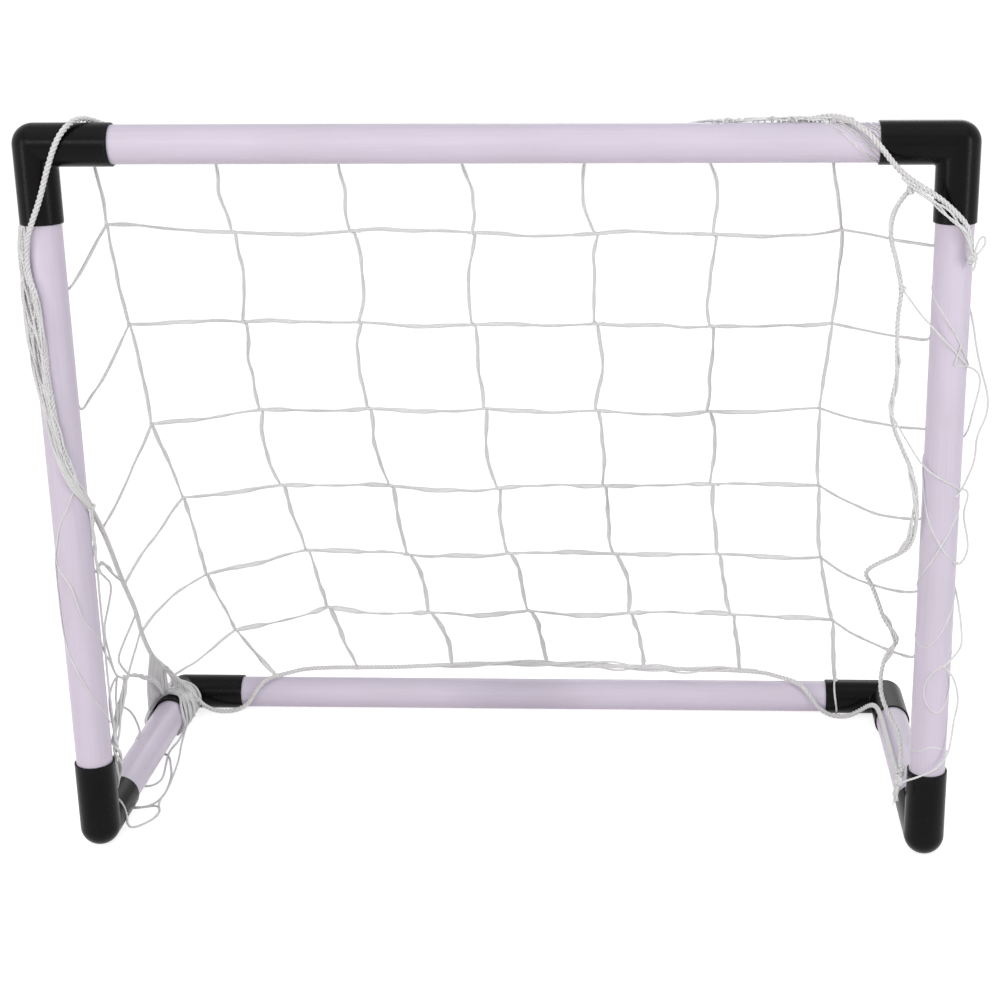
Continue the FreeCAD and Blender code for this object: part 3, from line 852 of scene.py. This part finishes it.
def gathered(lay, spine, count, across, deep, turns, scale=1):
    """Several cords drawn together along a spine, wound loosely about each other."""
    line, marks = evenly(smooth_route(spine), 4)
    ahead = np.gradient(line, axis=0)
    ahead /= np.linalg.norm(ahead, axis=1)[:, None]
    outward = np.array((0, -1, 0)) if abs(ahead[0][1]) < 0.8 else np.array((0, 0, 1))
    side = np.cross(ahead, outward)
    side /= np.linalg.norm(side, axis=1)[:, None]
    up = np.cross(side, ahead)
    share = marks / marks[-1]
    close = np.minimum(1, 0.25 + 5 * np.minimum(share, 1 - share))
    for k in range(count):
        phase = 2 * pi * (k + vary(-0.2, 0.2)) / count
        speed = turns * vary(0.7, 1.3)
        swell = (0.75 + 0.35 * np.sin(share * vary(5, 11) + vary(0, 6))) * close
        turn = phase + 2 * pi * speed * share
        aside = side * (across * swell * np.cos(turn))[:, None]
        route = line + aside + up * (deep * swell * np.sin(turn))[:, None]
        lay.along(smooth_route(route.tolist()), scale, start=vary(0, 6))


left_slack = twine_lay()
gathered(left_slack, [
    (-277, -121.5, 253), (-278.2, -120, 238), (-278.4, -118.5, 222), (-278.6, -116.5, 205)
], 2, 0.9, 0.9, 2)
knot(left_slack, (-277.2, -122, 252.5), 1.5)
knot(left_slack, (-278.4, -116.2, 205), 1.1)
gathered(left_slack, [
    (-278.5, -116.5, 205), (-279.3, -111, 208.5), (-280, -99, 204.5), (-281, -83, 193.5),
    (-282.5, -66, 183), (-284.3, -46, 171.5)
], 2, 0.9, 0.9, 1.5)
loose(left_slack, [
    (-278.6, -116, 205), (-277.8, -108, 198.5), (-276.5, -95, 187.5), (-277.3, -103, 176),
    (-278.3, -115.4, 163.4), (-278.5, -114.3, 153.2), (-278.8, -107.2, 137.6),
    (-279.3, -100.5, 125), (-279.6, -93.6, 116.7), (-280, -75, 107.6)
], 0.9)
loose(left_slack, [
    (-278.7, -116.5, 205), (-279.3, -115.5, 190), (-279.4, -115, 170), (-279.3, -114.5, 150),
    (-279.2, -115, 128), (-279.3, -114, 110), (-279, -112.1, 84)
], 0.9)
loose(left_slack, [
    (-283, -108.5, 146), (-281, -108.9, 139.1), (-279.5, -105.9, 134), (-279.3, -100.5, 125)
], 0.9)
loose(left_slack, [
    (-286.2, -14, 136.5), (-285.6, -23, 134.5), (-284.5, -42, 132), (-283.2, -62, 129.5),
    (-282, -81, 125.5), (-281.5, -76.9, 117.5), (-281, -62, 105)
])
loose(left_slack, [
    (-289.2, 0.5, 114.5), (-286, -24.2, 111), (-283, -48.8, 108.1), (-281, -64.5, 105.2)
])
loose(left_slack, [
    (-279.6, -92, 116.2), (-279.6, -97.8, 117.5), (-279.3, -111, 114.7), (-281, -111.5, 106),
    (-280.5, -111.5, 92), (-279.3, -111.5, 82)
], 0.9)
loose(left_slack, [
    (-279.6, -93.6, 116.7), (-279, -102.4, 106.6), (-278.5, -103.7, 95.7), (-278.6, -106, 86)
], 0.9)
gathered(left_slack, [
    (-280.5, -70.8, 107.1), (-279.5, -81.5, 100.5), (-278.5, -96, 96), (-278.2, -102.5, 88.5),
    (-278.6, -109, 82.1), (-279.2, -112.5, 75), (-278.2, -112, 65), (-279, -108.5, 53),
    (-282, -103, 41), (-287, -97, 30.5)
], 6, 2.3, 2.2, 1.2)
gathered(left_slack, [
    (-281, -64.5, 105.8), (-283, -45, 97.5), (-285.5, -22, 87.5), (-288.5, 4, 75), (-291, 28, 63),
    (-293.5, 48, 50), (-296.5, 64, 38), (-299, 76, 29)
], 3, 1.3, 1.3, 1.6)
loose(left_slack, [
    (-280, -97, 96.5), (-279, -88, 91.5), (-280, -68.2, 78.8), (-284, -44.6, 60.5),
    (-291.5, -14.3, 36.5), (-299.5, 4, 26), (-305, 11, 16.5), (-303, 16, 5.5), (-295, 21, 0.9),
    (-287, 26, 0.9), (-280.5, 20, 1), (-275, 2, 1), (-270.2, -13, 1), (-266.8, -40, 1),
    (-268.4, -60, 1.1), (-262, -76.5, 1), (-266.5, -90, 1), (-275, -101, 1.2), (-278.6, -104.5, 5),
    (-278, -104.5, 14), (-281, -104, 23.5), (-287, -103, 28.4), (-295, -102.5, 28.9),
    (-302, -102, 25.5)
], 0.95)
knot(left_slack, (-280.2, -74, 108), 1.2)
left_slack.finished("left_slack_net", net_twine, "twine")

# --------------------------------------
# Net bunched over the rear left elbow: the last meshes are drawn over the sleeve and down both
# sides of its mouth, whose black edge shows only on top, and some cords lie on the floor.
SLEEVE_LAYER = 17
SLEEVE_CORDS = FLAP_CORDS = 2 * SLEEVE_LAYER
BARE_MIDDLE, BARE_HALF = -8, 34

rear_bunch = twine_lay()
for k in range(SLEEVE_CORDS):
    share = (k % SLEEVE_LAYER) / (SLEEVE_LAYER - 1) + vary(-0.02, 0.02)
    lift = 0.9 if k < SLEEVE_LAYER else 2.3
    lean = vary(-2.5, 2.5)
    route = []
    for angle in range(-150, 151, 25):
        swerve = angle + vary(-4, 4)
        down = min(1, max(0, (abs(swerve - BARE_MIDDLE) - BARE_HALF) / 34))
        down = down * down * (3 - 2 * down)
        first = 80 - 25 * down * (1 if swerve < 0 else 0.75)
        along = first + (105 - first) * share + lean * sin(radians(swerve)) + vary(-0.9, 0.9)
        fall = min(1, max(0, (along - 62) / 8))
        reach = TUBE_R + 1.4 * fall + lift + vary(0, 0.7) + (2 * down if swerve < 0 else 0)
        a = radians(swerve)
        route.append((LEFT + reach * sin(a), along, max(1, BASE + reach * cos(a))))
    loose(rear_bunch, route, vary(0.75, 1))
for k in range(9):
    start, turn = vary(66, 100), hand.choice((-1, 1))
    route = []
    for step in range(7):
        angle = turn * (-104 + 34 * step) + vary(-5, 5)
        along = start + (3.2 * step if start < 84 else -3.2 * step)
        clear = max(along, 80) if abs(angle - BARE_MIDDLE) < BARE_HALF + 14 else along
        a = radians(angle)
        reach = ELBOW_R + 3.4 + vary(0, 0.6)
        route.append((LEFT + reach * sin(a), clear, max(1, BASE + reach * cos(a))))
    loose(rear_bunch, route, 0.8)
gathered(rear_bunch, [
    (-290.8, 52, 65.5), (-290, 66, 55), (-289.5, 78, 43), (-292, 88, 33), (-298, 96, 27)
], 5, 2.6, 1.8, 0.8)
for k in range(FLAP_CORDS):
    share = k / (FLAP_CORDS - 1) + vary(-0.03, 0.03)
    angle = radians(-84 + 74 * share + vary(-5, 5))
    foot = Vector((LEFT + 16 * sin(angle), 66 + 16 * share, BASE + 16 * cos(angle)))
    top = Vector((-290.8 + vary(-1, 1), 22 + 40 * share, 88.5 - 31 * share))
    middle = (foot + top) / 2 + Vector((-2.2 * (1 - share), vary(-1, 1), vary(-2.5, 0.5)))
    below = Vector((LEFT + 16.2 * sin(angle - 0.5), foot.y + 12, BASE + 16.2 * cos(angle - 0.5)))
    loose(rear_bunch, [
        top, (top + middle) / 2, middle, (middle + foot) / 2, foot, below
    ], vary(0.6, 0.85))
loose(rear_bunch, [
    (-279, 66, 7), (-279, 48, 3), (-283, 34, 1), (-282.5, 22, 1), (-279.5, 4, 1), (-275.3, -20, 1),
    (-279.5, -32, 1), (-288, -33, 0.9), (-293, -32, 0.9)
], 0.9)
loose(rear_bunch, [
    (-278.5, 70, 8), (-277.5, 44, 1.4), (-272, 16, 1), (-268.6, -12, 2.1), (-266, -40, 2.4),
    (-268.6, -58, 1), (-276, -67.5, 1), (-285, -67.8, 0.9), (-292, -66, 0.9)
], 0.9)
loose(rear_bunch, [
    (-291, -69, 0.9), (-282.6, -69.3, 0.9), (-271, -64.8, 1), (-265.5, -68, 2.2),
    (-262, -76.5, 2.2), (-264.5, -84, 1.2)
], 0.9)
rear_bunch.finished("rear_left_bunched_net", net_twine, "twine")

# --------------------------------------
# The net's lowest edge: over the rear tube its spare twine is drawn along the edge rope and
# winds loosely about it, thickest right of the middle.
# Only the places of the edge rope that are farther back than this lie over the rear tube.
REAR_LINE = 125.5

rear_edge = twine_lay()
for start, count, across in ((-130, 2, 2.4), (-20, 3, 3.3)):
    spine = [spot for spot in EDGE_ROUTE if spot[1] > REAR_LINE and spot[0] > start]
    gathered(rear_edge, spine, count, across, 2.2, 3, 0.9)
rear_edge.finished("rear_edge_gathered_net", net_twine, "twine")

# --------------------------------------
# Net gathered along the crossbar's right end: the top meshes are bunched on the tube in small
# curls, fine cords slant over its front beside the rope, and more run with the rope to its knot.
CURLS = 46

top_bunch = twine_lay()
for k in range(7):
    start = 120 + 8 * k
    route = []
    for step in range(int((226 - start) / 8)):
        x = start + 8 * step
        rise = min(1, (x - 112) / 60)
        back = -113 - 6.5 * min(1, max(0, (x - 100) / 100)) + vary(-2.6, 2.6)
        over = sqrt(max(0, (TUBE_R + 0.8) ** 2 - (back - FRONT) ** 2))
        route.append((x + vary(-2, 2), back, TOP + over + vary(0, 2.6) * rise))
    route += [(229 + vary(-1, 1), -131, 506), (234, -135, 502)]
    loose(top_bunch, route, 0.6)
for k in range(CURLS):
    x = 226 - 96 * (hand.random() ** 1.4)
    back = -117 + vary(-4.5, 4)
    over = TOP + sqrt((TUBE_R + 0.7) ** 2 - (back - FRONT) ** 2)
    high = vary(1.6, 3.6) * min(1, (x - 110) / 60)
    wide = vary(1.5, 3.2)
    loose(top_bunch, [
        (x - wide, back + 1.5, over), (x - wide * 0.8, back, over + high * 0.8),
        (x + vary(-1, 1), back - 1, over + high),
        (x + wide * 0.9, back - 1, over + high * 0.7), (x + wide, back - 2.5, over - 0.3)
    ], 0.5)
for k in range(11):
    start = 207 + 3 * k + vary(-1.2, 1.2)
    finish = min(242, start + 36)
    stop = -75 + 150 * (finish - start) / 36
    route = []
    for step in range(9):
        share = step / 8
        a = radians(-75 + (stop + 75) * share + vary(-4, 4))
        reach = TUBE_R + 0.5
        x = start + (finish - start) * share
        route.append((x, FRONT - reach * cos(a), TOP - reach * sin(a)))
    loose(top_bunch, route, 0.38)
gathered(top_bunch, [
    (256, -138, 474.5), (264, -138.3, 467.5), (272.5, -138.5, 461.5), (283, -138.5, 454),
    (292.5, -138, 446), (299, -137.5, 437), (301.5, -137, 427)
], 3, 1.7, 1, 1.4, 0.8)
loose(top_bunch, [
    (301.5, -137.5, 424), (305.5, -138, 427), (310, -137, 433.5), (308.5, -136.5, 438.5),
    (304.5, -137, 434.5), (303, -138, 426), (304.5, -137, 419.5), (302.5, -136, 416)
], 0.8)
knot(top_bunch, (302, -137.6, 424.5), 1.5)
knot(top_bunch, (262.5, -135.5, 467), 1.5)
top_bunch.finished("crossbar_bunched_net", net_twine, "twine")

# --------------------------------------
# Slack net about the right upright: a second cord runs with the hanging rope, strays lie over
# the tube's front, and loops stand out from its outer side down to a knot at the foot.
STRAY_LIFT = 0.7

right_slack = twine_lay()
gathered(right_slack, [
    (262, -133.5, 466.5), (255, -132, 459), (250.5, -130, 448), (250.5, -128, 433),
    (256.5, -127, 417), (260.5, -126, 402)
], 2, 1.2, 1, 1.4, 0.85)
knot(right_slack, (260.5, -125, 402), 1.2)
loose(right_slack, [
    (260.5, -125, 402), (266, -126.5, 395), (272, -129, 387), (279.5, -131, 379),
    (286, -133.3, 372), (294, -133.5, 364), (300.5, -131, 356.5), (305, -125.5, 351.5)
], 0.8)
gathered(right_slack, [
    (259.5, -123, 362), (260.5, -122, 344), (257.5, -121, 330), (257, -120, 318)
], 3, 1.6, 1.3, 1.2, 0.85)
loose(right_slack, [
    (257, -120.5, 319), (262, -122.5, 311), (268, -124.5, 301), (276.5, -128, 288),
    (281.5, -130.2, 283), (288, -132.8, 279), (297, -133, 274), (303.5, -128.5, 269.5)
], 0.8)
gathered(right_slack, [
    (268.5, -122.5, 289), (273.5, -127.5, 274), (274.5, -129.5, 258), (274, -129, 243),
    (271, -125, 230), (265, -117, 219)
], 4, 1.9, 1.7, 1.4, 0.9)
gathered(right_slack, [
    (262, -94.5, 168), (267, -96, 158), (271, -98, 150), (268, -98, 142), (262, -98, 133)
], 3, 1.6, 1.2, 1, 0.8)
for stray in (
    [(410, 145), (404, 112), (398, 70), (391, 42), (381, 10), (372, -16), (363, -34), (357, -56),
     (352, -80)],
    [(366, -26), (357, -14), (354, -8), (353.5, -22), (353, -44), (352, -64), (351, -82)],
    [(298, 150), (291, 118), (284, 88), (273, 74), (259, 58), (246, 40), (235, 12), (226, -12),
     (220, -42), (216, -82)],
    [(250, -150), (257, -112), (256, -66), (246, -34), (234, -4), (222, 22), (212, 50), (203, 82),
     (196, 112), (190, 150)],
    [(212, -150), (205, -112), (190, -66), (176, -28), (164, 4), (158, 34), (160, 66), (165, 104),
     (170, 150)],
    [(164, -150), (158, -112), (151, -66), (146, -30), (142, 6), (134, 28), (122, 30), (113, 6),
     (111, -20), (118, -46), (130, -62), (140, -50), (146, -24)],
    [(92, 150), (86, 112), (79, 72), (82, 34), (87, 0), (83, -44), (78, -84)],
):
    loose(right_slack, [on_upright(1, height, angle, STRAY_LIFT) for height, angle in stray], 0.66)
for loop in (
    [on_upright(1, 396, -150), on_upright(1, 391, -112), (308, -121.5, 376), (309.5, -122, 366),
     (314, -122, 348), (319.5, -122, 332), (319.5, -122, 318), (313, -122, 304), (313.5, -122, 288),
     (308.5, -123, 275), (304.5, -126, 268), (301, -129.8, 265)],
    [(304, -126, 351.5), (309, -124, 350.5), (314.5, -124, 343), (309.5, -124, 320),
     (307.8, -122, 308), on_upright(1, 300, -112), on_upright(1, 296, -150)],
    [(302, -128.5, 269), (307.5, -126, 270), (310, -125, 264), (306.5, -125, 252),
     (310.5, -125, 236), (311.5, -125, 226), (308.5, -125, 218), (304, -127.5, 216.5),
     (301.3, -129.8, 219.5)],
    [on_upright(1, 208, -150), on_upright(1, 201, -112), (308, -126, 184), (310.5, -126, 166),
     (310.5, -126, 157), (305, -127, 150), (300.5, -131, 146.5), (297.8, -132.2, 145)],
    [(296, -132.5, 146), (303, -128, 141), (308.5, -127, 130), (310.5, -127, 117),
     (307.5, -129, 104), (306.5, -130, 91), (304, -133, 80), (297, -136.5, 72), (285, -137, 66),
     (275, -136, 62), (271, -134, 58), (272, -128, 56)],
):
    loose(right_slack, loop, 0.85)
for k in range(7):
    loose(right_slack, [
        (272.5, -129, 58), (270.5 + vary(-1, 1), -131 + vary(-1.5, 1.5), 53),
        (270 + vary(-2.5, 2.5), -132 + vary(-2, 2), 44 + vary(-2, 2))
    ], 0.45)
knot(right_slack, (272, -129.5, 58.5), 1.5)
right_slack.finished("right_slack_net", net_twine, "twine")
